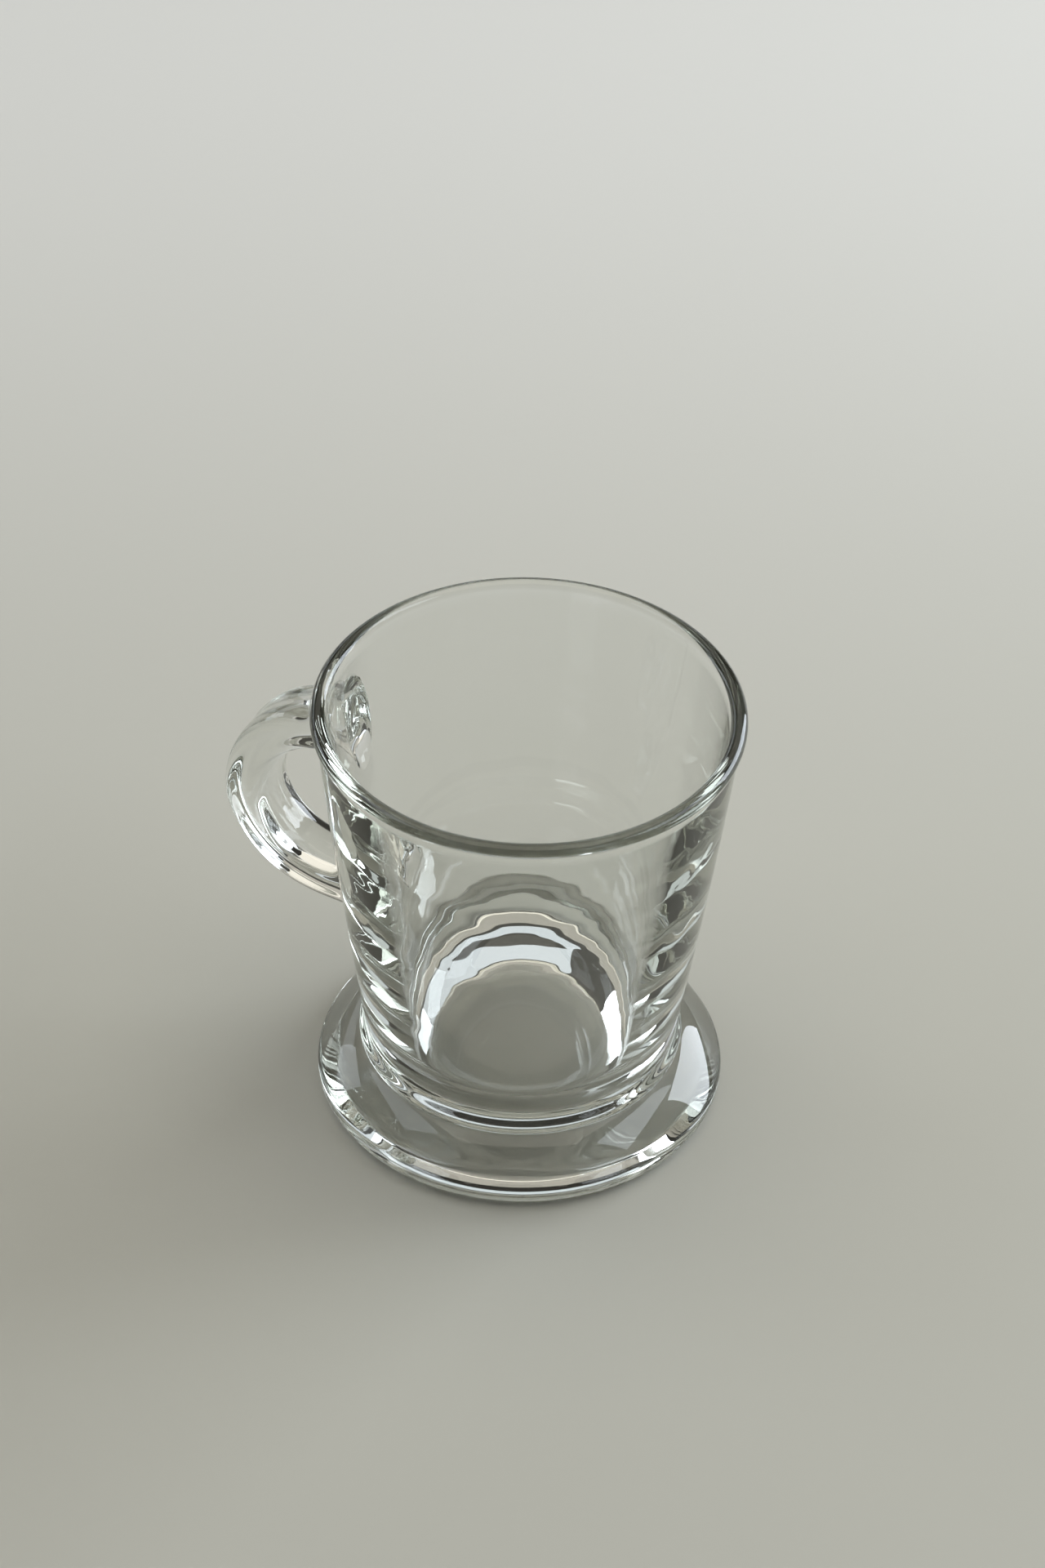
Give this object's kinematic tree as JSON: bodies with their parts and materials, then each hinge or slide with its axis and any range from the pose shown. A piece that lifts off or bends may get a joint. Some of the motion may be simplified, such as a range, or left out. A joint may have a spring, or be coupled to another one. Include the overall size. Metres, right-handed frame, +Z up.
{
  "type": "espresso cup",
  "caption": "Clear glass espresso cup: a tapered thick-walled bowl on a wide disc foot, with an ear-shaped strap handle for one finger.",
  "frame": {"origin": "on the bowl's axis, in the plane of the surface that the cup stands on", "axes": "+Z up along the bowl's axis, the handle along -X, the cup the same on both sides of the XZ plane"},
  "size_m": [0.0786, 0.062, 0.0693],
  "materials": {
    "bowl_glass": "clear, fire-polished",
    "foot_glass": "clear, fire-polished",
    "handle_glass": "clear, fire-polished"
  },
  "bodies": {
    "root": {"bowl": "bowl_glass", "foot": "foot_glass", "handle": "handle_glass"}
  },
  "joints": []
}
